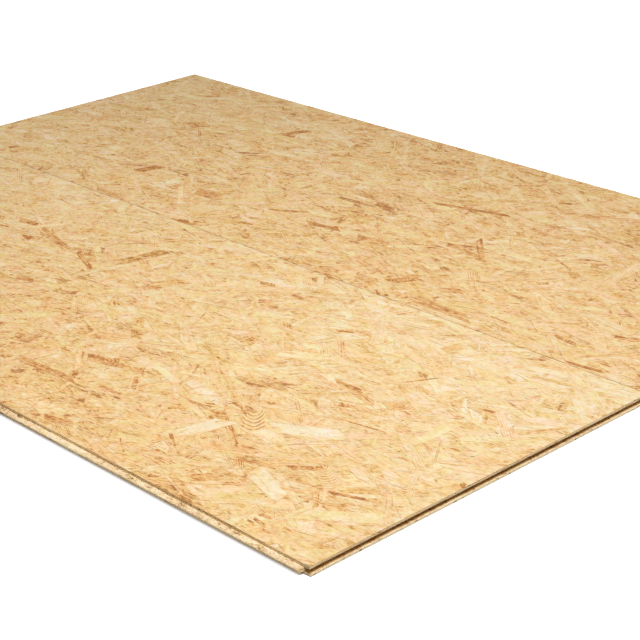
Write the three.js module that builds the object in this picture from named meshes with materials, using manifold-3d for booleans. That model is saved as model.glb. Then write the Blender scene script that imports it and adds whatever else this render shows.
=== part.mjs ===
// Two OSB floor panels with tongue and groove on all four sides, laid side by side on the floor
// with the tongue of the back panel home in the groove of the front one.
// Millimetres, +Z up. The origin is the middle of the underside of the joined pair: X runs across
// the panels, Y along them, and the open grooves face -Y and +X.
import * as THREE from 'three';
import { mergeVertices } from 'three/addons/utils/BufferGeometryUtils.js';
import Module from 'manifold-3d';

const wasm = await Module();
wasm.setup();

// The panel: its laid face, without the tongues, and its thickness.
const coverWidth = 675;
const coverLength = 1840;
const thickness = 15;

// The tongue: its reach from the shoulder, its root and how each cheek tapers to the round tip.
const tongueReach = 10;
const tongueRoot = 6;
const cheekTaper = 0.7;
const tipRadius = 1.8;

// The upper shoulder closes tight and the faces under the tongue stay back from each other.
const upperShoulder = 4.5;
const underRelief = 0.5;

// The lead-in at the mouth of the groove, cut at 45 degrees off both lips.
const mouthChamfer = 0.8;

// Clearances in the joint: beside the cheeks, ahead of the tip, and between two laid faces.
const cheekClearance = 0.25;
const tipClearance = 0.5;
const seamGap = 0.3;

// Heights and depths that follow.
const rootTop = thickness - upperShoulder;
const rootBottom = rootTop - tongueRoot;
const grooveTop = rootTop + cheekClearance;
const grooveBottom = rootBottom - cheekClearance;
const grooveDepth = tongueReach + tipClearance;

// A quarter-round tip has this many chords.
const tipChords = 5;

const osb = { color: 0xe2c391, roughness: 0.72, metalness: 0 };

// Section of the panel from its tongue edge to its groove edge. `cover` is the laid size from
// shoulder to lip, the first axis runs across the section and the second one up.
function sectionAcross(cover) {
  const tipTop = rootTop - cheekTaper;
  const tipBottom = rootBottom + cheekTaper;
  const roundStart = tipRadius - tongueReach;
  const section = new THREE.Shape();
  section.moveTo(0, thickness);
  section.lineTo(0, rootTop);
  section.lineTo(roundStart, tipTop);
  section.absarc(roundStart, tipTop - tipRadius, tipRadius, Math.PI / 2, Math.PI, false);
  section.absarc(roundStart, tipBottom + tipRadius, tipRadius, Math.PI, 1.5 * Math.PI, false);
  section.lineTo(0, rootBottom);
  section.lineTo(underRelief, rootBottom);
  section.lineTo(underRelief, 0);
  section.lineTo(cover, 0);
  section.lineTo(cover, grooveBottom - mouthChamfer);
  section.lineTo(cover - mouthChamfer, grooveBottom);
  section.lineTo(cover - grooveDepth, grooveBottom);
  section.lineTo(cover - grooveDepth, grooveTop);
  section.lineTo(cover - mouthChamfer, grooveTop);
  section.lineTo(cover, grooveTop + mouthChamfer);
  section.lineTo(cover, thickness);
  section.closePath();
  return section;
}

// A section drawn in X and Z, run along Y for `length`, starting `lead` before zero.
function runAlongY(section, length, lead) {
  const run = new THREE.ExtrudeGeometry(section, {
    depth: length + 2 * lead,
    bevelEnabled: false,
    curveSegments: tipChords,
  });
  run.rotateX(Math.PI / 2);
  run.translate(0, length + lead, 0);
  return run;
}

function toSolid(geometry) {
  const bare = geometry.clone();
  bare.deleteAttribute('normal');
  bare.deleteAttribute('uv');
  const merged = mergeVertices(bare, 1e-4);
  return new wasm.Manifold(new wasm.Mesh({
    numProp: 3,
    vertProperties: new Float32Array(merged.attributes.position.array),
    triVerts: new Uint32Array(merged.index.array),
  }));
}

function toGeometry(solid) {
  const { vertProperties, triVerts } = solid.getMesh();
  const geometry = new THREE.BufferGeometry();
  geometry.setAttribute('position', new THREE.BufferAttribute(vertProperties, 3));
  geometry.setIndex(new THREE.BufferAttribute(triVerts, 1));
  geometry.computeVertexNormals();
  return geometry;
}

// One panel, with its front left shoulder corner at zero. It is what the two milled sections
// share: the one across it, tongue on -X and groove on +X, and the one along it, groove on -Y
// and tongue on +Y. Where a groove crosses a tongue, the tongue ends at the groove's bottom.
function milledPanel() {
  const spare = tongueReach + 5;
  const across = runAlongY(sectionAcross(coverWidth), coverLength, spare);
  const along = runAlongY(sectionAcross(coverLength), coverWidth, spare);
  along.rotateZ(-Math.PI / 2);
  along.translate(0, coverLength, 0);
  return toGeometry(toSolid(across).intersect(toSolid(along)));
}

const panelNames = ['osb_panel_front', 'osb_panel_back'];
const pitch = coverWidth + seamGap;
const laidWidth = panelNames.length * pitch - seamGap;

const panels = new THREE.Group();
panels.position.set(
  -(laidWidth - tongueReach) / 2,
  -(coverLength + tongueReach) / 2,
  0,
);
panelNames.forEach((name, place) => {
  const panel = new THREE.Mesh(milledPanel(), new THREE.MeshStandardMaterial(osb));
  panel.name = name;
  panel.position.x = place * pitch;
  panels.add(panel);
});

export default panels;
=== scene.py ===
"""Two oriented strand board floor panels with tongue and groove on all four sides, laid side by
side with the tongue of the back panel home in the groove of the front one.

Each panel is made as a mill makes it. Strands of wood are laid into a mat, the mat is pressed
so that every strand lies at a height of its own, and the board is then cut to the milled shape
of its CAD solid. Lengths are in metres, and in mm where a comment says so.
"""
import math
from collections import namedtuple

import bmesh
import bpy
import numpy as np
from mathutils import Matrix, Vector
from mathutils.geometry import delaunay_2d_cdt


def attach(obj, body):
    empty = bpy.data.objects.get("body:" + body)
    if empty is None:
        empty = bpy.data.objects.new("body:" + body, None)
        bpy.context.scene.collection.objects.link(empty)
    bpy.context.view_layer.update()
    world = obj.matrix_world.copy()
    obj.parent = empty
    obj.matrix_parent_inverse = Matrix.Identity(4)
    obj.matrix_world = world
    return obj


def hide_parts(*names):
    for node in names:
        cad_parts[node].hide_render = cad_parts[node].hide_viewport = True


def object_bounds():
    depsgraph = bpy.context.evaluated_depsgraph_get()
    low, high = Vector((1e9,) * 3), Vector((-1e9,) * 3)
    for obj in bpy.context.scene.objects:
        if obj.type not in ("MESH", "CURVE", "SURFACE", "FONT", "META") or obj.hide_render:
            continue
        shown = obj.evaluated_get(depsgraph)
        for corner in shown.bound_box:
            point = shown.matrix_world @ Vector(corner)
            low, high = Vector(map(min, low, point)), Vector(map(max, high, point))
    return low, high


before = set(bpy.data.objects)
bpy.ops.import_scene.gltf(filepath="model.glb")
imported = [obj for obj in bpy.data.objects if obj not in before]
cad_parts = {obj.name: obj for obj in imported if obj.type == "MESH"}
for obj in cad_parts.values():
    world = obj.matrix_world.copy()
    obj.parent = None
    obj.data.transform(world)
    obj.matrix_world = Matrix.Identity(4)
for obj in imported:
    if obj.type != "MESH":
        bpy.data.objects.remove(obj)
cad_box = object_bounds()

MM = 0.001

# Points closer together than this are one point.
SNAP = 1e-6


def from_frame(length):
    """A length read from the frame, rounded to a micrometre."""
    return round(float(length), 6)


# The panel: its laid face without the tongues, its thickness and the reach of its tongues.
LAID_SIZE = (0.675, 1.840)
HALF_FACE = np.array(LAID_SIZE) / 2
THICKNESS = from_frame(cad_box[1][2] - cad_box[0][2])
TONGUE_REACH = 10 * MM

# How far most strands turn to the left of the panel's length.
LEAN = math.radians(8.0)


# ---- writing node trees

def operator(operation):
    """A method that works out a wire and another value with one Math operation."""
    return lambda wire, other: wire.math(operation, other)


class Wire:
    """An output socket. An expression on wires adds the Math nodes that work it out."""

    def __init__(self, graph, socket):
        self.graph = graph
        self.socket = socket

    def math(self, operation, *others):
        return self.graph.maths(operation, self, *others)

    __add__ = __radd__ = operator("ADD")
    __mul__ = __rmul__ = operator("MULTIPLY")
    __sub__ = operator("SUBTRACT")
    __truediv__ = operator("DIVIDE")
    __pow__ = operator("POWER")

    def __rsub__(self, other):
        return self.graph.maths("SUBTRACT", other, self)


class Graph:
    """A shader or Geometry Nodes tree, written one node at a time."""

    def __init__(self, tree):
        self.tree = tree

    def node(self, kind, settings=None, sockets=None, out=0):
        """Adds a node, makes its settings, gives its sockets values or wires, returns a wire."""
        made = self.tree.nodes.new(kind)
        for name, setting in (settings or {}).items():
            if name == "stops":
                set_stops(made.color_ramp, setting)
            else:
                setattr(made, name, setting)
        for name, value in (sockets or {}).items():
            if isinstance(value, Wire):
                self.tree.links.new(value.socket, made.inputs[name])
            else:
                made.inputs[name].default_value = value
        return Wire(self, made.outputs[out])

    def maths(self, operation, *values):
        return self.node("ShaderNodeMath", {"operation": operation}, dict(enumerate(values)))

    def vector(self, x, y, z=0.0):
        return self.node("ShaderNodeCombineXYZ", None, {0: x, 1: y, 2: z})

    def parts(self, vector):
        """The three parts of a vector, as three wires."""
        split = self.node("ShaderNodeSeparateXYZ", None, {0: vector})
        return [Wire(self, split.socket.node.outputs[axis]) for axis in range(3)]

    def seen_by(self, *rays):
        """1 where one of these rays arrives, and 0 for every other ray."""
        path = self.tree.nodes.new("ShaderNodeLightPath")
        seen = Wire(self, path.outputs[rays[0]])
        for ray in rays[1:]:
            seen = seen.math("MAXIMUM", Wire(self, path.outputs[ray]))
        return seen


def set_stops(ramp, stops):
    """Gives a colour ramp its stops, pairs of a place and a colour."""
    while len(ramp.elements) > 1:
        ramp.elements.remove(ramp.elements[-1])
    for number, (place, colour) in enumerate(stops):
        element = ramp.elements[0] if number == 0 else ramp.elements.new(place)
        element.position = place
        element.color = (*colour, 1.0)


class Group(Graph):
    """A Geometry Nodes group. Its inputs are a mesh, named sizes, a seed and a material."""

    def __init__(self, name, sizes):
        super().__init__(bpy.data.node_groups.new(name, "GeometryNodeTree"))
        self.tree.is_modifier = True
        inputs = {"Geometry": "Geometry", **sizes, "Seed": "Int", "Material": "Material"}
        sockets = self.tree.interface
        for title, kind in inputs.items():
            sockets.new_socket(title, in_out="INPUT", socket_type="NodeSocket" + kind)
        sockets.new_socket("Geometry", in_out="OUTPUT", socket_type="NodeSocketGeometry")
        given = self.tree.nodes.new("NodeGroupInput")
        self.given = {title: Wire(self, given.outputs[title]) for title in inputs}

    def share(self, draw, low=0.0, high=1.0):
        """A random number from low to high for each point, for one of the seed's 16 draws."""
        return self.node("FunctionNodeRandomValue", {"data_type": "FLOAT"},
                         {2: low, 3: high, 8: self.given["Seed"] * 16 + draw}, out=1)

    def end(self, geometry):
        """Ends the group with what it made, in its material, and returns it."""
        made = self.node("GeometryNodeSetMaterial", None,
                         {"Geometry": geometry, "Material": self.given["Material"]})
        output = self.tree.nodes.new("NodeGroupOutput")
        self.tree.links.new(made.socket, output.inputs["Geometry"])
        return self.tree


# ---- objects and meshes

def new_object(name, data):
    """An object in the scene, at the origin."""
    made = bpy.data.objects.new(name, data)
    bpy.context.scene.collection.objects.link(made)
    return made


def read(items, name, size, kind=np.float64):
    """A property of every item as an array, one row for each item."""
    values = np.empty(len(items) * size, kind)
    items.foreach_get(name, values)
    return values.reshape(-1, size)


def write(mesh, name, domain, values):
    """Stores a vector for each face or corner of a mesh."""
    attribute = mesh.attributes.new(name, "FLOAT_VECTOR", domain)
    attribute.data.foreach_set("vector", np.asarray(values, np.float32).ravel())


def evaluated(piece):
    """What an object's modifiers make of it, as a plain mesh. They are taken off the object."""
    graph = bpy.context.evaluated_depsgraph_get()
    mesh = bpy.data.meshes.new_from_object(piece.evaluated_get(graph), depsgraph=graph)
    piece.modifiers.clear()
    return mesh


def made_by(group, base, values):
    """The plain mesh that a node group makes of an object when its inputs have these values."""
    modifier = base.modifiers.new("make", "NODES")
    modifier.node_group = group
    for item in group.interface.items_tree:
        if item.name in values:
            modifier[item.identifier] = values[item.name]
    return evaluated(base)


def cut(block, tool, operation):
    """Cuts a block with a tool, and throws the tool away."""
    modifier = block.modifiers.new("cut", "BOOLEAN")
    modifier.operation = operation
    modifier.solver = "MANIFOLD"
    modifier.material_mode = "TRANSFER"
    modifier.object = tool
    block.data = evaluated(block)
    bpy.data.objects.remove(tool)


# ---- finishes

def srgb(red, green, blue):
    """A colour as paint charts give it, 0 to 255, in the values that a shader works with."""
    def linear(part):
        part /= 255
        return part / 12.92 if part <= 0.04045 else ((part + 0.055) / 1.055) ** 2.4
    return linear(red), linear(green), linear(blue)


class Finish(Graph):
    """A material's node tree, with the steps that the finishes share."""

    def __init__(self, name):
        self.material = bpy.data.materials.new(name)
        self.material.use_nodes = True
        super().__init__(self.material.node_tree)
        self.shader = self.tree.nodes["Principled BSDF"]

    def stored(self, name):
        """A vector that dress() has stored on the piece."""
        return self.node("ShaderNodeAttribute", {"attribute_name": name}, out=1)

    def noise(self, place, patches, detail=2.0, rough=0.5):
        """Noise from 0 to 1 with so many patches to a metre, each way."""
        return self.node("ShaderNodeTexNoise", None, {
            "Vector": self.scaled(place, patches), "Scale": 1.0,
            "Detail": detail, "Roughness": rough})

    def cells(self, place):
        """A random number from 0 to 1 for each cell of a pattern."""
        return self.parts(self.node("ShaderNodeTexVoronoi", None,
                                    {"Vector": place, "Scale": 1.0}, out=1))[0]

    def scaled(self, vector, by):
        return self.node("ShaderNodeVectorMath", {"operation": "MULTIPLY"}, {0: vector, 1: by})

    def span(self, value, low, high, to_low=0.0, to_high=1.0, smooth=True):
        """Maps low..high to to_low..to_high and holds it there outside."""
        return self.node("ShaderNodeMapRange",
                         {"interpolation_type": "SMOOTHSTEP" if smooth else "LINEAR"},
                         {"Value": value, "From Min": low, "From Max": high,
                          "To Min": to_low, "To Max": to_high})

    def mix(self, share, first, second, blend="MIX"):
        """Mixes two colours."""
        return self.node("ShaderNodeMix", {"data_type": "RGBA", "blend_type": blend},
                         {0: share, 6: first, 7: second}, out=2)

    def over(self, colour, mask, paint):
        """Lays a plain colour over another one where the mask is 1."""
        return self.mix(mask, colour, (*paint, 1.0))

    def tinted(self, colour, tints):
        """Multiplies a colour by tints. Each has a share, a tint at share 0 and one at 1."""
        for share, least, most in tints:
            tint = self.mix(share, (*least, 1.0), (*most, 1.0))
            colour = self.mix(1.0, colour, tint, "MULTIPLY")
        return colour

    def ramp(self, value, stops):
        return self.node("ShaderNodeValToRGB", {"stops": stops}, {0: value.math("MAXIMUM", 0.0)})

    def bump(self, height, strength, distance):
        return self.node("ShaderNodeBump", None,
                         {"Height": height, "Strength": strength, "Distance": distance})

    def finish(self, **sockets):
        """Joins values and wires to the shader's sockets, and returns the material."""
        for name, value in sockets.items():
            socket = self.shader.inputs[name.replace("_", " ").title()]
            if isinstance(value, Wire):
                self.tree.links.new(value.socket, socket)
            else:
                socket.default_value = value
        return self.material


# The colours of the strands, from the palest sapwood to bark.
WOOD_TONES = [
    (0.00, srgb(251, 237, 210)),
    (0.12, srgb(251, 233, 195)),
    (0.30, srgb(250, 225, 178)),
    (0.50, srgb(247, 213, 158)),
    (0.68, srgb(241, 199, 137)),
    (0.84, srgb(229, 178, 112)),
    (0.94, srgb(212, 151, 88)),
    (1.00, srgb(187, 124, 70)),
]
DARK_SIDE_AND_SHADE = srgb(168, 104, 50)
SPECK_AND_SHADE = srgb(158, 100, 55)
HOLLOW_SHADE = srgb(110, 66, 32)
RIM_DARK = srgb(140, 88, 44)

# The tone that marks a gap, whose floor is painted in dark shade. All wood has a tone below 1.5.
GAP_SHADE_TONE = 2.0


def growth_rings(wood, grain, rings, clear):
    """How much of the dark late wood in the growth rings shows, from 0 to 1."""
    ring_x, ring_y, ring_strength = rings
    sway = wood.noise(grain, (25, 110, 1)) - 0.5
    radius = (ring_x * ring_x + ring_y * ring_y).math("SQRT") + sway * (1.6 - clear * 1.1)
    late = (radius * (2 * math.pi)).math("SINE") * 0.5 + 0.5
    patchy = wood.span(wood.noise(grain, (18, 60, 1.7), detail=1), 0.35, 0.65)
    return late ** 3.0 * (wood.span(ring_strength, 0.35, 1.0) * patchy.math("MAXIMUM", clear))


def strand_edges(wood, grain):
    """The distance to the strand's nearest side, and how much of its own tone shows.

    The outline of most strands is soft: bark, resin and colour run out before the side does.
    """
    to_left, to_right, _ = wood.parts(wood.stored("sides"))
    to_head, to_foot, sharp = wood.parts(wood.stored("ends"))
    side = to_left.math("MINIMUM", to_right)
    end = to_head.math("MINIMUM", to_foot)
    ragged = wood.noise(grain, (35, 160, 3)) - 0.5
    inner = side.math("MINIMUM", end * 0.3) + ragged * (24 * MM)
    soft = wood.span(inner, -1.5 * MM, 4.5 * MM)
    return side, soft.math("MAXIMUM", wood.span(sharp, 0.92, 0.98))


def wood_of_strands(name, shade):
    """The wood of a strand: its tone, growth rings, fibres, specks and dark sides. Part of the
    specks and dark sides, the floors of gaps and the step walls are painted shade.

    Patterns on `grain` follow each strand, and patterns on `place` run on from one to the next.
    """
    wood = Finish(name)
    grain = wood.stored("grain")
    place = wood.node("ShaderNodeMapping", None,
                      {"Vector": wood.node("ShaderNodeTexCoord", out=3),
                       "Rotation": (0.0, 0.0, -LEAN)})
    tone, usual, clear = wood.parts(wood.stored("look"))
    red, yellow, _ = wood.parts(wood.stored("hue"))
    rings = wood.parts(wood.stored("rings"))
    to_rim = wood.parts(wood.stored("sides"))[2]
    late_wood = growth_rings(wood, grain, rings, clear)
    side, whole = strand_edges(wood, grain)

    fibre = wood.noise(grain, (55, 900, 1), detail=3) - 0.5
    streak = wood.noise(grain, (14, 260, 1)) - 0.5
    cloud = wood.noise(grain, (22, 55, 1)) - 0.5
    stained = wood.span(wood.noise(grain, (30, 190, 2.3), detail=3), 0.53, 0.72)
    mottle = wood.noise(place, (45, 22, 1), detail=3, rough=0.6) - 0.5
    flecks = wood.noise(place, (320, 115, 1), detail=1) - 0.5
    blotch = wood.noise(place, (100, 62, 1), detail=3, rough=0.65) - 0.5
    chalky = wood.span(wood.noise(place, (26, 17, 5), detail=4, rough=0.6), 0.54, 0.72)

    own_tone = (tone - usual) * whole + usual
    fine = streak * 0.50 + fibre * 0.22 + flecks * 0.80
    stains = mottle * 0.50 + blotch * 0.72 + stained * 0.26 - chalky * 0.20
    shown_tone = (own_tone + cloud * 0.35 + (fine + stains) * (1.0 - clear * 0.6)
                  + late_wood * (0.42 + clear * 0.25) - 0.035)
    colour = wood.ramp(shown_tone, WOOD_TONES)

    # Whole strands differ in hue. Fine dark lines are shadows more than they are darker wood.
    blush = wood.noise(place, (90, 45, 1)) - 0.5
    glow = wood.noise(place, (70, 40, 7)) - 0.5
    redder = wood.span((red - 0.5) * whole + blush * 2.0, -0.5, 0.5, smooth=False)
    yellower = wood.span((yellow - 0.5) * whole + glow * 2.0, -0.5, 0.5, smooth=False)
    in_shadow = wood.span(fine, -0.25, 0.35, smooth=False)
    colour = wood.tinted(colour, [
        (redder, (0.98, 1.02, 1.00), (1.03, 0.94, 0.98)),
        (yellower, (1.00, 1.00, 1.10), (1.00, 1.00, 0.86)),
        (in_shadow, (1.03, 0.98, 0.95), (0.88, 1.02, 1.08))])

    # Dark sides break off and come back along the strand: partly dark rough edges, partly painted
    # shade where the strand steps down to the next. Strands with strong rings have none.
    wobble = wood.noise(grain, (60, 60, 3)) - 0.5
    broken = wood.span(wood.noise(grain, (30, 0, 5), detail=1), 0.45, 0.62)
    dark_side_and_shade = wood.span(side + wobble * (1.2 * MM), 0.2 * MM, 1.1 * MM, 1.0, 0.0) * broken
    dark_side_and_shade = dark_side_and_shade * wood.span(rings[2], 0.0, 0.75, 1.0, 0.0) * 0.7
    colour = wood.over(colour, dark_side_and_shade, DARK_SIDE_AND_SHADE)

    # Dark specks, dented by the bump: partly bits of bark, partly painted shade in small pits.
    speck = wood.noise(place, (430, 150, 270), rough=0.6)
    crowd = wood.noise(place, (24, 24, 24)) - 0.5
    specks = wood.span(speck + crowd * 0.5 - clear * 0.1, 0.69, 0.75) * 0.75
    colour = wood.over(colour, specks, SPECK_AND_SHADE)
    # The floor of a gap is painted dark: painted shade in the hollow.
    colour = wood.over(colour, wood.span(tone, 1.5, 1.6), HOLLOW_SHADE)
    # The face is painted darker within about a millimetre of the panel's edges.
    rim_dark = wood.span(to_rim + wobble * (1.2 * MM), 0.2 * MM, 1.1 * MM, 0.62, 0.0)
    colour = wood.over(colour, rim_dark, RIM_DARK)
    # Below shade 1, the whole strand is painted darker and more brown: painted shade on the step
    # walls.
    if shade < 1.0:
        painted_step_shade = (shade, shade * 0.80, shade * 0.58, 1.0)
        colour = wood.mix(1.0, colour, painted_step_shade, "MULTIPLY")

    relief = fibre * 0.5 + streak * 0.6 - late_wood * 0.4 - specks * 0.6
    return wood.finish(base_color=colour,
                       roughness=wood.span(fibre, -0.3, 0.3, 0.58, 0.72),
                       normal=wood.bump(relief, 0.5, 0.15 * MM))


# The colours of the milled edges, from voids and glue to the palest layers.
EDGE_TONES = [
    (0.00, srgb(128, 84, 46)),
    (0.16, srgb(200, 160, 112)),
    (0.36, srgb(232, 203, 160)),
    (0.62, srgb(243, 220, 182)),
    (1.00, srgb(248, 234, 206)),
]
PALE_PAINTED_LIGHT = srgb(252, 243, 226)
EDGE_SPECK = srgb(120, 72, 36)
CONTACT_SHADE = srgb(112, 76, 48)


def wood_cut_across(name, shade=(1.0, 1.0, 1.0)):
    """The milled edges, where the thin layers of the board show.

    On an upright face the strands show as thin layers, and on a level one as flat flakes.
    """
    wood = Finish(name)
    place = wood.node("ShaderNodeTexCoord", out=3)
    x, y, z = wood.parts(place)
    facing = wood.node("ShaderNodeNewGeometry", out=1)
    level = wood.span(wood.parts(facing)[2].math("ABSOLUTE"), 0.6, 0.8)
    upright = 1 - level

    wander = wood.noise(place, (22, 22, 90), detail=1) - 0.5
    layers = wood.scaled(wood.vector(x, y, z + wander * (1.6 * MM)), (48, 15, 1250))
    flakes = wood.scaled(wood.vector(x + wander * 0.02, y, 0.0), (85, 26, 1))
    border = wood.node("ShaderNodeTexVoronoi", {"feature": "DISTANCE_TO_EDGE"},
                       {"Vector": layers, "Scale": 1.0})
    glue = wood.span(border, 0.0, 0.10, 1.0, 0.0) * upright
    fibre = wood.noise(place, (260, 90, 1500), detail=3) - 0.5
    dots = wood.noise(place, (380, 260, 900), detail=3, rough=0.65) - 0.5
    stains = wood.noise(place, (120, 70, 60)) - 0.5
    tone = wood.cells(layers) * upright + wood.cells(flakes) * level
    tone = tone * (0.8 - level * 0.25) + level * 0.12 + 0.20 + (fibre + dots) * 0.8 - glue * 0.25
    tone = tone + (dots * 0.9 + stains * 1.3) * level
    colour = wood.ramp(tone, EDGE_TONES)

    # Upright faces within about 4 mm of the underside, such as the lower lip, are painted paler:
    # painted light.
    low_painted_light = wood.span(z, 3.2 * MM, 4.2 * MM, 0.75, 0.0) * upright
    colour = wood.over(colour, low_painted_light, PALE_PAINTED_LIGHT)
    blush = wood.noise(place, (150, 90, 420)) - 0.5
    yellowish = wood.span(blush, -0.22, 0.22, smooth=False)
    # Upright faces are tinted warmer and more brown than level ones: painted shade on the faces
    # that get less light. `shade` darkens a whole finish, as for the groove's walls.
    colour = wood.tinted(colour, [
        (level, (1.04, 0.97, 0.80), (0.99, 0.97, 0.92)),
        (yellowish, (1.03, 0.98, 1.06), (0.99, 1.02, 0.88)),
        (1.0, shade, shade)])
    specks = wood.span(wood.noise(place, (470, 250, 700), rough=0.6), 0.61, 0.68) * 0.8
    colour = wood.over(colour, specks, EDGE_SPECK)
    # Painted contact shadow: upright faces are darker within about a millimetre of the underside.
    contact_shade = wood.span(z + wander * (1.0 * MM), 0.1 * MM, 0.8 * MM, 0.5, 0.0) * upright
    colour = wood.over(colour, contact_shade, CONTACT_SHADE)
    relief = fibre * 0.6 - glue * 0.7 - specks
    return wood.finish(base_color=colour, roughness=0.78,
                       normal=wood.bump(relief, 0.6, 0.25 * MM))


strand_face = wood_of_strands("osb_strand_face", 1.0)
# The walls where one strand steps down to the next take the strand's wood in painted shade.
strand_step = wood_of_strands("osb_strand_step", 0.78)
milled_edge = wood_cut_across("osb_milled_edge")
# The walls inside the groove are painted darker and more brown: painted shade.
shaded_groove_walls = wood_cut_across("osb_groove_walls", (0.84, 0.74, 0.56))
# The walls of the voids torn into the milled edges are painted dark brown: painted shade in the
# hollows.
void_shade = Finish("osb_torn_wood").finish(base_color=(*srgb(124, 80, 44), 1.0), roughness=0.9)


# ---- laying the mat

# The mat is larger than the panel, which is cut out of it. Pressed, its top strand lies
# LEAST_DEPTH below the panel's face, and its bottom one RELIEF deeper.
MAT_SIZE = (0.700, 1.870)
RELIEF = 0.45 * MM
LEAST_DEPTH = 0.005 * MM

# How deep the gaps between the strands are, least and most, in mm.
GAP_DEPTH = (0.6, 1.2)

# What one kind of strand is like: how many rows and columns of them are strewn over the mat,
# their length and width in mm, least and most, and how far they turn away from the panel's
# length in degrees. A strand's place in the pile is a random share plus `over`, and `dark` is
# how much darker the kind is than the others.
Kind = namedtuple("Kind", "rows columns length width spread over dark")
STRAND_KINDS = {
    "core": Kind(26, 18, (90, 140), (36, 60), 70, -2.0, 0.0),
    "broad": Kind(32, 38, (60, 115), (10, 28), 34, 0.0, 0.0),
    "narrow": Kind(30, 30, (40, 95), (3, 9), 34, 0.25, 0.03),
    "sliver": Kind(36, 25, (14, 48), (0.9, 2.6), 34, 0.55, 0.13),
    "gap": Kind(18, 8, (2, 9), (0.6, 1.6), 45, 3.0, 0.0),
    "under": Kind(22, 22, (60, 115), (12, 30), 30, 0.0, 0.0),
}
KIND_NAMES = tuple(STRAND_KINDS)
BY_HAND = len(KIND_NAMES)

# The listed strands lie over all that are strewn, each a step over the one before, but
# under the gaps. The bed lies under them all, and reaches past the mat on every side.
PLACE_BY_HAND = 2.0
PLACE_STEP = 0.01
PLACE_OF_BED = -10.0
BED_MARGIN = 10 * MM
HALF_MAT = np.array(MAT_SIZE) / 2


def strewing_group():
    """Geometry Nodes that strew strands over a mat, one four-sided face for each strand.

    Every point of a strand holds `heading`, the way its grain runs, and `look`, three random
    shares that its colour and its place in the pile are taken from.
    """
    graph = Group("strew_strands", {
        "Mat Width": "Float", "Mat Length": "Float", "Columns": "Int", "Rows": "Int",
        "Shortest": "Float", "Longest": "Float", "Narrowest": "Float", "Widest": "Float",
        "Spread": "Float"})
    size = graph.given
    share = graph.share

    def scaled(vector, by):
        return graph.node("ShaderNodeVectorMath", {"operation": "SCALE"}, {0: vector, 3: by})

    # One point for each strand, moved at random up to a whole step each way.
    points = graph.node("GeometryNodeMeshGrid", None, {
        "Size X": size["Mat Width"], "Size Y": size["Mat Length"],
        "Vertices X": size["Columns"], "Vertices Y": size["Rows"]})
    step_x = size["Mat Width"] / size["Columns"]
    step_y = size["Mat Length"] / size["Rows"]
    points = graph.node("GeometryNodeSetPosition", None, {
        "Geometry": points,
        "Offset": graph.vector(share(1, -1.0) * step_x, share(2, -1.0) * step_y)})

    # Three shares added up give most strands a heading near the panel's length. They vary by a
    # half as a rule, so twice that times Spread makes the headings vary by Spread degrees.
    swing = share(3) + share(4) + share(5) - 1.5
    turn = swing * size["Spread"] * math.radians(2.0) + math.pi / 2 + LEAN
    length = size["Shortest"] + share(6) * (size["Longest"] - size["Shortest"])
    narrow = share(7) ** 1.5
    width = size["Narrowest"] + narrow * (size["Widest"] - size["Narrowest"])

    blank = graph.node("GeometryNodeMeshGrid", None, {
        "Size X": 1.0, "Size Y": 1.0, "Vertices X": 2, "Vertices Y": 2})
    strands = graph.node("GeometryNodeInstanceOnPoints", None, {
        "Points": points, "Instance": blank,
        "Rotation": graph.vector(0.0, 0.0, turn), "Scale": graph.vector(length, width, 1.0)})
    heading = graph.vector(turn.math("COSINE"), turn.math("SINE"))
    named = {"heading": heading, "look": graph.vector(share(8), share(9), share(10)),
             "reach": scaled(heading, width)}
    for name, value in named.items():
        strands = graph.node(
            "GeometryNodeStoreNamedAttribute", {"data_type": "FLOAT_VECTOR", "domain": "INSTANCE"},
            {"Geometry": strands, "Name": name, "Value": value})
    strands = graph.node("GeometryNodeRealizeInstances", None, {"Geometry": strands})

    # Each corner slides along the grain, so the ends are cut or broken at a slant.
    reach = graph.node("GeometryNodeInputNamedAttribute", {"data_type": "FLOAT_VECTOR"},
                       {"Name": "reach"})
    strands = graph.node("GeometryNodeSetPosition", None, {
        "Geometry": strands, "Offset": scaled(reach, share(11, -0.8, 0.8))})
    return graph.end(strands)


def strew(strewing, kind, seed):
    """Strews one kind of strand over a mat, and returns its strands as arrays."""
    spec = STRAND_KINDS[kind]
    sheet = new_object("mat", bpy.data.meshes.new("mat"))
    mesh = made_by(strewing, sheet, {
        "Mat Width": MAT_SIZE[0], "Mat Length": MAT_SIZE[1],
        "Columns": spec.columns, "Rows": spec.rows,
        "Shortest": spec.length[0] * MM, "Longest": spec.length[1] * MM,
        "Narrowest": spec.width[0] * MM, "Widest": spec.width[1] * MM,
        "Spread": float(spec.spread), "Seed": seed, "Material": strand_face,
    })
    bpy.data.objects.remove(sheet)

    points = read(mesh.vertices, "co", 3)
    corners = read(mesh.loops, "vertex_index", 1, np.int32).reshape(-1, 4)
    strands = {
        "corners": points[corners][:, :, :2],
        "heading": read(mesh.attributes["heading"].data, "vector", 3)[corners[:, 0], :2],
        "look": read(mesh.attributes["look"].data, "vector", 3)[corners[:, 0]],
    }
    bpy.data.meshes.remove(mesh)
    strands["place"] = strands["look"][:, 2] + spec.over
    strands["kind"] = np.full(len(corners), KIND_NAMES.index(kind))
    return strands


def bed_under(strands):
    """One strand that covers the whole mat and lies under all the others."""
    bed = {name: values[:1].copy() for name, values in strands.items()}
    sides = np.array([(1, -1), (1, 1), (-1, 1), (-1, -1)])
    bed["corners"][0] = sides * (HALF_MAT + BED_MARGIN)
    bed["heading"][0] = (0.0, 1.0)
    bed["place"][0] = PLACE_OF_BED
    return bed


# The grain figure of a listed strand: how strong its growth rings are, the
# distance between them in mm, how much shorter they are along the strand than across it, and
# where their middle lies, in strand lengths from its own.
FIGURES = {
    "plain": (0.0, 3.0, 0.10, 0.0),
    "lined": (1.0, 3.2, 0.05, 0.4),
    "bowed": (1.0, 4.2, 0.38, 0.9),
    "knot": (1.0, 4.5, 0.70, 0.0),
    "curly": (0.85, 3.4, 0.50, 0.8),
}

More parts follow.
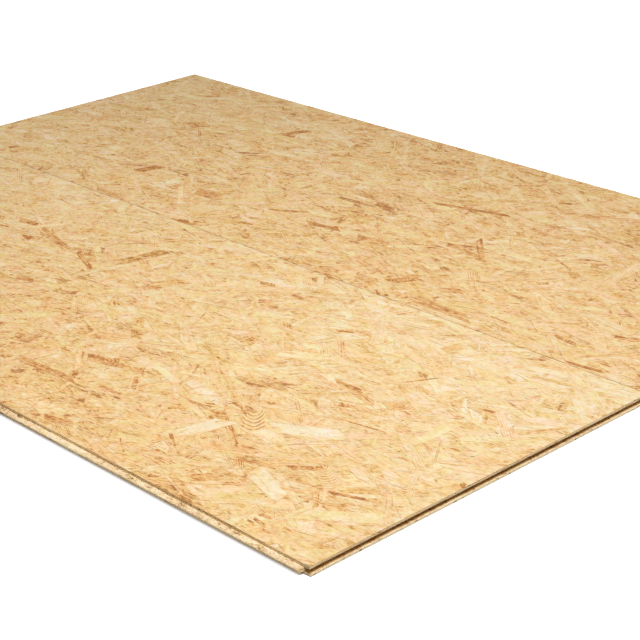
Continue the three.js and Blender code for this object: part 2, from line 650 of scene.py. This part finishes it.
# The strands that stand out, laid one by one on each panel's mat: place across and along from
# the panel's middle, heading in degrees, length, width, tone and, if it isn't plain, figure.
# Lengths are in mm.
ON_FRONT_PANEL = [
    (-121, -572, 47, 46, 33, 0.50, "bowed"), (-165, -770, 60, 44, 24, 0.50, "curly"),
    (-232, -728, 72, 62, 31, 0.30), (-88, -650, 120, 80, 32, 0.24), (-180, -826, 112, 44, 7, 1.00),
    (-221, -761, 113, 25, 6, 0.92), (-207, -832, 130, 20, 6, 0.90), (-163, -859, 134, 12, 8, 0.78),
    (-164, -729, 130, 36, 12, 0.92, "knot"), (-202, -669, 109, 42, 8, 0.88, "lined"),
    (46, -611, 79, 75, 13, 0.74, "lined"), (-25, -489, 104, 60, 14, 0.72, "lined"),
    (59, -686, 134, 30, 24, 0.72, "knot"), (10, -742, 134, 15, 14, 0.84),
    (-22, -692, 101, 78, 3, 0.88), (-52, -593, 53, 60, 5, 0.74),
    (-164, -572, 59, 70, 12, 0.78, "lined"), (145, 360, 100, 34, 18, 0.90),
    (124, 252, 76, 95, 17, 0.84, "lined"), (97, 123, 67, 80, 11, 0.86, "lined"),
    (-26, 130, 106, 28, 15, 0.90), (208, 126, 136, 94, 3, 0.88), (103, -66, 133, 18, 12, 1.00),
    (56, -585, 90, 42, 10, 0.86, "lined"), (147, -650, 150, 46, 3, 0.86),
    (193, -436, 119, 20, 6, 1.00), (243, -196, 108, 22, 12, 0.86, "knot"),
    (-307, -793, 81, 20, 6, 0.92), (-292, -786, 108, 14, 5, 0.90), (-314, -784, 92, 10, 4, 0.95),
    (-316, -817, 92, 11, 4, 0.90), (-294, -832, 101, 10, 4, 0.88), (-195, -759, 112, 16, 5, 0.92),
    (-132, -288, 105, 46, 10, 0.82, "lined"), (-220, -205, 94, 105, 16, 0.89),
    (-140, -243, 108, 44, 24, 0.88, "knot"), (-312, -365, 102, 42, 14, 0.96),
    (-138, -465, 88, 80, 4, 0.86), (-184, -532, 168, 60, 33, 0.26),
]
ON_BACK_PANEL = [
    (-180, 441, 165, 38, 24, 0.98, "lined"), (-200, 233, 100, 46, 36, 0.90),
    (-67, -351, 45, 80, 12, 0.88), (-325, 387, 95, 50, 14, 0.84, "lined"),
    (-167, -182, 97, 52, 26, 0.89), (-266, -349, 150, 30, 22, 0.90, "knot"),
    (-243, -442, 121, 28, 18, 0.94), (-310, -479, 88, 100, 24, 0.77, "lined"),
    (-91, -330, 84, 60, 12, 0.86, "lined"), (76, -200, 106, 137, 12, 0.94, "lined"),
    (125, -490, 85, 95, 6, 0.88), (-328, -795, 99, 50, 8, 0.95),
    (-270, -710, 84, 35, 10, 0.92, "knot"), (80, 600, 147, 30, 40, 0.90),
    (180, 400, 156, 52, 20, 0.92, "lined"), (30, 610, 115, 76, 3, 0.95),
    (-160, 45, 122, 62, 10, 0.90), (-173, -60, 98, 56, 14, 0.90, "lined"),
]


def lay_by_hand(rows):
    """The strands of one panel that stand out, as arrays like those that strew() returns."""
    middle = np.array([row[:2] for row in rows]) * MM
    turn, length, width, tone = np.array([row[2:6] for row in rows], float).T
    heading = np.column_stack([np.cos(np.radians(turn)), np.sin(np.radians(turn))])
    along = heading * (length * MM / 2)[:, None]
    across = np.column_stack([-heading[:, 1], heading[:, 0]]) * (width * MM / 2)[:, None]

    # Two opposite corners slide along the grain, so that the ends are slanted.
    slant = heading * (np.minimum(width * 1.5, length / 3) * MM)[:, None]
    corners = [middle - along - across, middle + along - across + slant,
               middle + along + across, middle - along + across - slant]
    order = np.arange(len(rows))
    return {
        "corners": np.stack(corners, 1),
        "heading": heading,
        "look": np.column_stack([tone, order, order]),
        "place": PLACE_BY_HAND + PLACE_STEP * order,
        "kind": np.full(len(rows), BY_HAND),
        "figure": np.array([FIGURES[row[6] if row[6:] else "plain"] for row in rows]),
    }


def lay_mat(strewing, seed, kinds, by_hand=()):
    """Strews every kind of strand over one mat, and puts the strands in their order in the pile.

    `place` is the order from the bottom up, and `height` is how far each strand ends up above
    the panel's face, which is below it for all of them.
    """
    parts = [strew(strewing, kind, seed + number) for number, kind in enumerate(kinds)]
    parts.append(bed_under(parts[0]))
    if by_hand:
        parts.append(lay_by_hand(by_hand))
    for part in parts:
        part.setdefault("figure", np.zeros((len(part["place"]), 4)))
    mat = {name: np.concatenate([part[name] for part in parts]) for name in parts[0]}
    order = np.argsort(mat["place"], kind="stable")
    mat = {name: values[order] for name, values in mat.items()}

    # More of the pile ends up near the face than deep below it.
    depth = np.linspace(1.0, 0.0, len(order)) ** 1.5 * RELIEF
    gap = mat["kind"] == KIND_NAMES.index("gap")
    least, most = GAP_DEPTH
    depth[gap] = (least + (most - least) * mat["look"][gap, 1]) * MM
    mat["height"] = -LEAST_DEPTH - depth
    return mat


# ---- what each strand looks like

# The tone of most wood, and how dark the strands are: the share of them that is paler than each
# tone. Tones run from 0, the palest, to 1, the darkest.
USUAL_TONE = 0.42
TONE_SHARES = [(0.0, 0.17), (0.08, 0.29), (0.30, 0.38), (0.60, 0.45),
               (0.86, 0.56), (0.97, 0.68), (1.0, 0.82)]

# The growth rings of the strewn strands: the distance between two in mm, how much shorter they
# are along the strand than across it, and how far their middle may lie from its own, in mm.
RING_PERIOD = (1.8, 5.5)
RING_SQUEEZE = (0.03, 0.16)
RING_MIDDLE = 60

# What a listed strand gets if its tone is above each of these: how sharp its outline is,
# how clear it is of flecks, and how red and how yellow it is for its tone.
BY_TONE = {
    "sharp": [(0.85, 0.968), (0.4, 0.953), (0.0, 0.0)],
    "clear": [(0.6, 0.25), (0.4, 0.7), (0.0, 0.0)],
    "red": [(0.6, 0.75), (0.4, 0.55), (0.0, 0.3)],
    "yellow": [(0.4, 0.60), (0.0, 0.05)],
}


def add_looks(mat, seed, brown_and_shade_across, brown_and_shade_along):
    """Gives every strand of a mat its colours and its growth rings.

    The colour isn't the same all over: the first of the last two arguments holds how much darker
    and more brown the strands are at the left and right side, the second how much at the near end,
    the middle and the far end. This is partly wood and partly painted shade where less light
    falls.
    """
    draws = np.random.default_rng(seed)
    count = len(mat["place"])
    darker = np.array([kind.dark for kind in STRAND_KINDS.values()] + [0.0])[mat["kind"]]
    across, along = mat["corners"].mean(1).T
    half_width, half_length = HALF_FACE
    # The tone shifts darker and more brown towards some sides: partly wood, partly painted shade.
    brown_and_shade_shift = np.interp(across, (-half_width, half_width), brown_and_shade_across)
    brown_and_shade_shift = brown_and_shade_shift + np.interp(along, (-half_length, 0.0, half_length), brown_and_shade_along)
    mat["tone"] = np.interp(mat["look"][:, 0], *zip(*TONE_SHARES)) + darker + brown_and_shade_shift
    mat["tone"][mat["kind"] == KIND_NAMES.index("gap")] = GAP_SHADE_TONE
    mat["usual"] = USUAL_TONE + brown_and_shade_shift
    mat["clear"] = np.zeros(count)

    for name in ("sharp", "red", "rings"):
        mat[name] = draws.random(count)
    mat["period"] = draws.uniform(*RING_PERIOD, count) * MM
    mat["squeeze"] = draws.uniform(*RING_SQUEEZE, count)
    mat["eye"] = draws.uniform(-RING_MIDDLE, RING_MIDDLE, (2, count)).T * MM
    mat["yellow"] = draws.random(count)

    # Listed strands have the tone and the figure of their row instead.
    chosen = mat["kind"] == BY_HAND
    tone = mat["look"][chosen, 0]
    mat["tone"][chosen] = tone
    for name, steps in BY_TONE.items():
        lows, values = zip(*steps)
        mat[name][chosen] = np.select([tone > low for low in lows], values)
    strength, period, squeeze, eye = mat["figure"][chosen].T
    mat["rings"][chosen] = strength
    mat["period"][chosen] = period * MM
    mat["squeeze"][chosen] = squeeze
    length = np.linalg.norm(mat["corners"][chosen, 1] - mat["corners"][chosen, 0], axis=1)
    mat["eye"][chosen] = np.column_stack([eye * length, 0.0 * eye])


# ---- pressing the mat

def covered(starts, ends, quads):
    """The share of each edge, from and to, that lies inside each quad.

    Returns arrays of one row for each edge and one column for each quad. Where the edge misses
    the quad, the second number is not above the first.
    """
    low = np.zeros((len(starts), len(quads)))
    high = np.ones_like(low)
    for side in range(4):
        foot = quads[:, side]
        along = quads[:, (side + 1) % 4] - foot
        inward = np.stack([-along[:, 1], along[:, 0]], 1)
        inward /= np.linalg.norm(inward, axis=1, keepdims=True)
        offset = (inward * foot).sum(1)
        at_start = starts @ inward.T - offset
        at_end = ends @ inward.T - offset
        change = at_end - at_start
        with np.errstate(divide="ignore", invalid="ignore"):
            crossing = -at_start / change
        low = np.where(change > 0, np.maximum(low, crossing), low)
        high = np.where(change < 0, np.minimum(high, crossing), high)
        outside = (change == 0) & (at_start < 0)
        high = np.where(outside, -1.0, high)
    return low, high


def showing(low, high):
    """The stretches of one edge that no quad covers, as pairs of shares along it."""
    stretches = []
    reached = 0.0
    for place in np.argsort(low):
        if high[place] <= low[place]:
            continue
        if low[place] > reached:
            stretches.append((reached, low[place]))
        reached = max(reached, high[place])
    if reached < 1.0:
        stretches.append((reached, 1.0))
    return stretches


def add_outlines(quads, points, edges):
    """Adds to a drawing what shows of every strand's outline from above."""
    lows = quads.min(1)
    highs = quads.max(1)
    for strand, quad in enumerate(quads):
        near = (lows[strand + 1:] < highs[strand]) & (highs[strand + 1:] > lows[strand])
        over = np.nonzero(near.all(1))[0] + strand + 1
        low, high = covered(quad, np.roll(quad, -1, 0), quads[over])
        for side in range(4):
            start = quad[side]
            along = quad[(side + 1) % 4] - start
            length = math.hypot(*along)
            for begin, end in showing(low[side], high[side]):
                if (end - begin) * length > SNAP:
                    edges.append((len(points), len(points) + 1))
                    points += [tuple(start + begin * along), tuple(start + end * along)]


def top_strands(quads, spots):
    """The top strand over each of these spots."""
    lows = quads.min(1)
    highs = quads.max(1)
    order = np.argsort(spots[:, 1])
    sorted_y = spots[order, 1]
    shown = np.full(len(spots), -1)
    for strand in range(len(quads) - 1, -1, -1):
        first, last = np.searchsorted(sorted_y, (lows[strand, 1], highs[strand, 1]))
        near = order[first:last]
        near = near[(shown[near] < 0) & (spots[near, 0] > lows[strand, 0])
                    & (spots[near, 0] < highs[strand, 0])]
        quad = quads[strand]
        along = np.roll(quad, -1, 0) - quad
        away = spots[near][:, None] - quad
        within = (along[:, 0] * away[:, :, 1] - along[:, 1] * away[:, :, 0] > 0).all(1)
        shown[near[within]] = strand
    return shown


def press(strands):
    """Works out which strand shows where, once the pile is pressed flat.

    Returns the points of a flat mesh, its triangles, and the strand that each shows.
    """
    quads = strands["corners"]
    rim = np.array([(-1, -1), (1, -1), (1, 1), (-1, 1)]) * HALF_MAT
    points = list(map(tuple, rim))
    edges = [(0, 1), (1, 2), (2, 3), (3, 0)]
    add_outlines(quads, points, edges)

    flat = delaunay_2d_cdt([Vector(p) for p in points], edges, [], 0, SNAP)
    spots = np.array([tuple(p) for p in flat[0]])
    triangles = np.array(flat[2])
    middles = spots[triangles].mean(1)
    inside = (np.abs(middles) < HALF_MAT).all(1)
    triangles = triangles[inside]
    return spots, triangles, top_strands(quads, middles[inside])


# ---- making the pressed block

# How far the block of a pressed mat reaches past the other side of the panel.
PAST_THE_PANEL = 10 * MM


def edges_of(triangles, owners, outside):
    """Where each edge of each triangle starts and ends, and the owners to its left and right.

    To the right of an edge of the rim is `outside`.
    """
    starts = triangles.ravel()
    ends = np.roll(triangles, -1, 1).ravel()
    left = np.repeat(owners, 3)
    count = triangles.max() + 1
    keys = starts * count + ends
    twins = ends * count + starts
    order = np.argsort(keys)
    found = np.searchsorted(keys[order], twins).clip(max=len(order) - 1)
    has_twin = keys[order][found] == twins
    right = np.where(has_twin, left[order][found], outside)
    return starts, ends, left, right


def loop_around(starts, ends):
    """The spots around the rim, from the edges that start and end at them."""
    after = dict(zip(ends, starts))
    loop = [starts[0]]
    while len(loop) < len(after):
        loop.append(after[loop[-1]])
    return loop


def raise_block(spots, triangles, shown, heights, base):
    """Gives every strand its height, and closes the block down to its base with walls.

    Returns the block's points, its faces, the strand of each face, and how many of the faces
    are level ones. A face that belongs to no strand has strand -1.
    """
    # Where strands of different heights meet, a spot is a column of points, one for each.
    levels = np.append(heights, base)
    below = len(heights)
    keys, corners = np.unique(triangles * len(levels) + shown[:, None], return_inverse=True)
    corners = corners.reshape(-1, 3)
    starts, ends, owner, neighbour = edges_of(triangles, shown, below)
    rim = neighbour == below
    keys = np.append(keys, starts[rim] * len(levels) + below)
    column_spot = keys // len(levels)
    column_height = levels[keys % len(levels)]
    points = np.column_stack([spots[column_spot], column_height])
    columns = {}
    for point in np.lexsort((column_height, column_spot)):
        columns.setdefault(column_spot[point], []).append(point)

    def part_of_column(spot, low, high):
        """The points of a column from one height up to another."""
        return [p for p in columns[spot] if low <= column_height[p] <= high]

    faces = corners.tolist()
    face_strand = shown.tolist()
    for wall in np.nonzero(levels[owner] > levels[neighbour])[0]:
        low = levels[neighbour[wall]]
        high = levels[owner[wall]]
        up = part_of_column(ends[wall], low, high)
        down = part_of_column(starts[wall], low, high)[::-1]
        faces.append(up + down)
        face_strand.append(owner[wall])

    # The base is one face around the foot of the rim.
    faces.append([columns[spot][0] for spot in loop_around(starts[rim], ends[rim])])
    face_strand.append(-1)
    return points, faces, np.array(face_strand), len(corners)


def pressed_block(name, mat, middle, side):
    """The closed block whose top is a pressed mat, over a panel or, at side -1, under it.

    The vector `strand` of each face holds its strand, counted from 1, and its side.
    """
    spots, triangles, shown = press(mat)
    points, faces, face_strand, level = raise_block(
        spots, triangles, shown, mat["height"] + THICKNESS, -PAST_THE_PANEL)
    if side < 0:
        points = points * (-1, 1, -1) + (0, 0, THICKNESS)
    points = points + (*middle, 0)
    mesh = bpy.data.meshes.new(name)
    mesh.from_pydata(points.tolist(), [], faces)
    mesh.materials.append(strand_face)
    mesh.materials.append(strand_step)
    mesh.polygons.foreach_set("material_index", (np.arange(len(faces)) >= level).astype(np.int32))
    marks = np.zeros((len(faces), 3))
    marks[:, 0] = face_strand + 1
    marks[:, 1] = side
    write(mesh, "strand", "FACE", marks)
    return new_object(name, mesh)


# ---- milling the edges

# A face is a wall of the groove if it lies this far in from the laid face's edges at least, and
# this far from the top and the underside.
GROOVE_STARTS = 1.0 * MM
LIP_LEAST = 3.0 * MM

# How the saw tears small voids in the milled edges: how far apart they are at least, how many
# are tried for each square metre, and half their size each way in mm, least and most.
VOIDS_APART = 7 * MM
VOIDS_TRIED = 12000.0
VOID_DEPTH = (0.5, 2.0)
VOID_LENGTH = (0.8, 5.5)
VOID_THICKNESS = (0.25, 0.75)


def closed_copy(node, middle):
    """A copy of a CAD node, with triangles joined at their corners and its milled finishes on, the
    walls of its groove in painted shade.
    """
    mesh = bpy.data.objects[node].data.copy()
    shape = bmesh.new()
    shape.from_mesh(mesh)
    bmesh.ops.remove_doubles(shape, verts=shape.verts, dist=SNAP)
    shape.to_mesh(mesh)
    shape.free()
    mesh.materials.clear()
    mesh.materials.append(milled_edge)
    mesh.materials.append(shaded_groove_walls)
    centres = read(mesh.polygons, "center", 3)
    from_edge = (HALF_FACE - np.abs(centres[:, :2] - middle)).min(1)
    from_face = THICKNESS / 2 - np.abs(centres[:, 2] - THICKNESS / 2)
    in_groove = (from_edge > GROOVE_STARTS) & (from_face > LIP_LEAST)
    mesh.polygons.foreach_set("material_index", in_groove.astype(np.int32))
    return new_object("tool", mesh)


def tearing_group():
    """Geometry Nodes that set flat blobs in the upright faces of a mesh, to be cut out of it."""
    graph = Group("tear_edges", {"Apart": "Float", "Tried": "Float"})
    size = graph.given
    facing = graph.node("GeometryNodeInputNormal")
    upright = graph.parts(facing)[2].math("ABSOLUTE").math("LESS_THAN", 0.1)
    points = graph.node("GeometryNodeDistributePointsOnFaces", {"distribute_method": "POISSON"}, {
        "Mesh": size["Geometry"], "Selection": upright,
        "Distance Min": size["Apart"], "Density Max": size["Tried"], "Seed": size["Seed"]})
    away_x, away_y, _ = graph.parts(Wire(graph, points.socket.node.outputs["Normal"]))
    blob = graph.node("GeometryNodeMeshIcoSphere", None, {"Radius": 1.0, "Subdivisions": 1})
    reach = [graph.share(draw, least * MM, most * MM)
             for draw, (least, most) in enumerate((VOID_DEPTH, VOID_LENGTH, VOID_THICKNESS))]
    blobs = graph.node("GeometryNodeInstanceOnPoints", None, {
        "Points": points, "Instance": blob, "Scale": graph.vector(*reach),
        "Rotation": graph.vector(0.0, 0.0, away_y.math("ARCTAN2", away_x))})
    blobs = graph.node("GeometryNodeRealizeInstances", None, {"Geometry": blobs})
    return graph.end(blobs)


def tear_edges(tearing, solid, seed):
    """Cuts small voids into the upright faces of a milled panel."""
    voids = made_by(tearing, solid, {
        "Apart": VOIDS_APART, "Tried": VOIDS_TRIED, "Seed": seed, "Material": void_shade})
    cut(solid, new_object("voids", voids), "DIFFERENCE")


# ---- what each face looks like

# Neighbours in the pile have numbers a step apart, which start again at the limit.
NUMBER_STEP = 0.37
NUMBER_LIMIT = 10.0


def distance_in(start, end, spot):
    """How far each spot lies to the left of the line from start to end."""
    along = end - start
    away = spot - start
    turned = along[:, 0] * away[:, 1] - along[:, 1] * away[:, 0]
    return turned / np.linalg.norm(along, axis=1)


def dress(mesh, mats, middle):
    """Stores what the materials read: where each corner lies on its strand, and the strand's look.

    grain: metres along and across the strand, and a number of the strand's own.
    rings: where the corner lies among the growth rings, which are one apart, and their strength.
    sides: the distance to each long side of the strand, and to the nearest edge of the panel.
    ends:  the distance to each end of the strand, and how sharp the strand's outline is.
    look:  the tone of the strand, the usual tone around it, and how clear of flecks it is.
    hue:   how red and how yellow the strand is for its tone, from 0 to 1.
    """
    marks = read(mesh.attributes["strand"].data, "vector", 3)
    sizes = read(mesh.polygons, "loop_total", 1, np.int32)[:, 0]
    corner_spots = read(mesh.loops, "vertex_index", 1, np.int32)[:, 0]
    places = read(mesh.vertices, "co", 3)[corner_spots] - (*middle, 0.0)
    corner_strand = np.repeat(marks[:, 0].astype(int) - 1, sizes)
    corner_side = np.repeat(marks[:, 1], sizes)
    to_rim = (HALF_FACE - np.abs(places[:, :2])).min(1)
    names = ("grain", "rings", "sides", "ends", "look", "hue")
    stored = {name: np.zeros((len(places), 3)) for name in names}
    for side, mat in mats.items():
        on = np.nonzero((corner_side == side) & (corner_strand >= 0))[0]
        strand = corner_strand[on]
        own = {name: values[strand] for name, values in mat.items()}
        flat = places[on, :2] * (side, 1.0)
        quads = own["corners"]
        away = flat - mat["corners"].mean(1)[strand]
        heading = own["heading"]
        along = (away * heading).sum(1)
        across = heading[:, 0] * away[:, 1] - heading[:, 1] * away[:, 0]
        inside = [distance_in(quads[:, edge], quads[:, (edge + 1) % 4], flat) for edge in range(4)]
        ring_x = (along - own["eye"][:, 0]) * own["squeeze"] / own["period"]
        ring_y = (across - own["eye"][:, 1]) / own["period"]
        strand_number = strand * NUMBER_STEP % NUMBER_LIMIT
        for name, columns in {
                "grain": (along, across, strand_number),
                "rings": (ring_x, ring_y, own["rings"]),
                "sides": (inside[0], inside[2], to_rim[on]),
                "ends": (inside[1], inside[3], own["sharp"]),
                "look": (own["tone"], own["usual"], own["clear"]),
                "hue": (own["red"], own["yellow"], np.zeros(len(on)))}.items():
            stored[name][on] = np.column_stack(columns)
    for name, values in stored.items():
        write(mesh, name, "CORNER", values)


# ---- the two panels

# The middle of each laid face. The front panel's long tongue is the pair's left side, and the
# laid face of the back panel ends at its right side.
FRONT_X = from_frame(cad_box[0][0] + TONGUE_REACH + LAID_SIZE[0] / 2)
BACK_X = from_frame(cad_box[1][0] - LAID_SIZE[0] / 2)
MIDDLE_Y = from_frame(cad_box[0][1] + LAID_SIZE[1] / 2)

# The last entry of each panel holds how much darker and more brown it is painted across it and
# along it: partly wood, partly painted shade.
PANELS = {
    "osb_panel_front": dict(middle_x=FRONT_X, seed=100, by_hand=ON_FRONT_PANEL,
                            brown_and_shade=[(0.17, -0.03), (-0.02, 0.12, 0.08)]),
    "osb_panel_back": dict(middle_x=BACK_X, seed=200, by_hand=ON_BACK_PANEL,
                           brown_and_shade=[(0.13, 0.15), (0.01, 0.06, -0.01)]),
}
FACE_KINDS = ("core", "broad", "narrow", "sliver", "gap")
UNDERSIDE_KINDS = ("core", "under")

strewing = strewing_group()
tearing = tearing_group()
for node, spec in PANELS.items():
    middle = (spec["middle_x"], MIDDLE_Y)
    seed = spec["seed"]
    under_seed = seed + 50
    face_mat = lay_mat(strewing, seed, FACE_KINDS, spec["by_hand"])
    back_mat = lay_mat(strewing, under_seed, UNDERSIDE_KINDS)
    add_looks(face_mat, seed, *spec["brown_and_shade"])
    add_looks(back_mat, under_seed, *spec["brown_and_shade"])
    panel = pressed_block(node.replace("osb_panel", "strand_panel"), face_mat, middle, 1.0)
    under = pressed_block("underside", back_mat, middle, -1.0)
    milled = closed_copy(node, middle)
    tear_edges(tearing, milled, seed)
    cut(panel, milled, "INTERSECT")
    cut(panel, under, "INTERSECT")
    dress(panel.data, {1.0: face_mat, -1.0: back_mat}, middle)
    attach(panel, "root")
    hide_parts(node)


# ---- floor, light and camera

FLOOR_SIZE = 14.0
FLOOR_DROP = 0.2 * MM

# The floor looks for what stands over it as far off as this, and paints a dark contact shadow
# close under it.
CLOSE_ABOVE = 7 * MM


def grey(level):
    return level, level, level, 1.0


def floor_finish():
    """A floor that looks white and keeps the shadow.

    What the camera sees of it glows, but not close under the panels' edges, where the glow is
    taken away: a painted contact shadow that stays dark.
    """
    floor = Finish("studio_floor")
    seen = floor.seen_by("Is Camera Ray", "Is Glossy Ray", "Is Transmission Ray")
    open_above = floor.node("ShaderNodeAmbientOcclusion", {"samples": 16},
                            {"Distance": CLOSE_ABOVE}, out=1)
    lifted = seen * floor.span(open_above, 0.25, 0.75)
    return floor.finish(base_color=floor.mix(seen, grey(0.45), grey(0.95)), roughness=1.0,
                        emission_color=floor.mix(lifted, grey(0.0), grey(0.85)),
                        emission_strength=1.0)


bpy.ops.mesh.primitive_plane_add(size=FLOOR_SIZE, location=(0.0, 0.0, -FLOOR_DROP))
floor = bpy.context.object
floor.name = "studio_floor"
floor.data.materials.append(floor_finish())

# The sky fills the shadows softly. Where the camera sees it, its strength is 1, white.
SKY_FILL = 0.20

scene = bpy.context.scene
world = bpy.data.worlds.new("studio")
world.use_nodes = True
scene.world = world
sky = Graph(world.node_tree)
strength = sky.seen_by("Is Camera Ray") * (1 - SKY_FILL) + SKY_FILL
background = sky.tree.nodes["Background"]
background.inputs["Color"].default_value = grey(1.0)
sky.tree.links.new(strength.socket, background.inputs["Strength"])

# A square soft box with a grid on it, turned towards a spot on the panels.
LAMP_PLACE = Vector((-0.7, -2.9, 5.6))
LAMP_TARGET = Vector((-0.3, -0.2, 0.0))

lamp = bpy.data.lights.new("key_light", "AREA")
lamp.size = 2.0
lamp.energy = 46.6
lamp.spread = math.radians(62.0)
soft_box = new_object("key_light", lamp)
soft_box.location = LAMP_PLACE
soft_box.rotation_euler = (LAMP_TARGET - LAMP_PLACE).to_track_quat("-Z", "Y").to_euler()

# The camera: its place, how far it is turned from +X, down and about its own axis, and its
# focal length in pixels of a frame of this width.
CAMERA_PLACE = (-1.95515, -2.34165, 1.16254)
YAW = math.radians(47.168)
PITCH = math.radians(23.203)
ROLL = math.radians(-1.595)
FOCAL_PIXELS = 1808.2
FRAME_PIXELS = 640

lens = bpy.data.cameras.new("camera")
lens.sensor_width = 36.0
lens.lens = lens.sensor_width * FOCAL_PIXELS / FRAME_PIXELS
camera = new_object("camera", lens)
camera.matrix_world = (
    Matrix.Translation(CAMERA_PLACE) @ Matrix.Rotation(YAW - math.pi / 2, 4, "Z")
    @ Matrix.Rotation(math.pi / 2 - PITCH, 4, "X") @ Matrix.Rotation(ROLL, 4, "Z"))
scene.camera = camera
scene.view_settings.view_transform = "Standard"
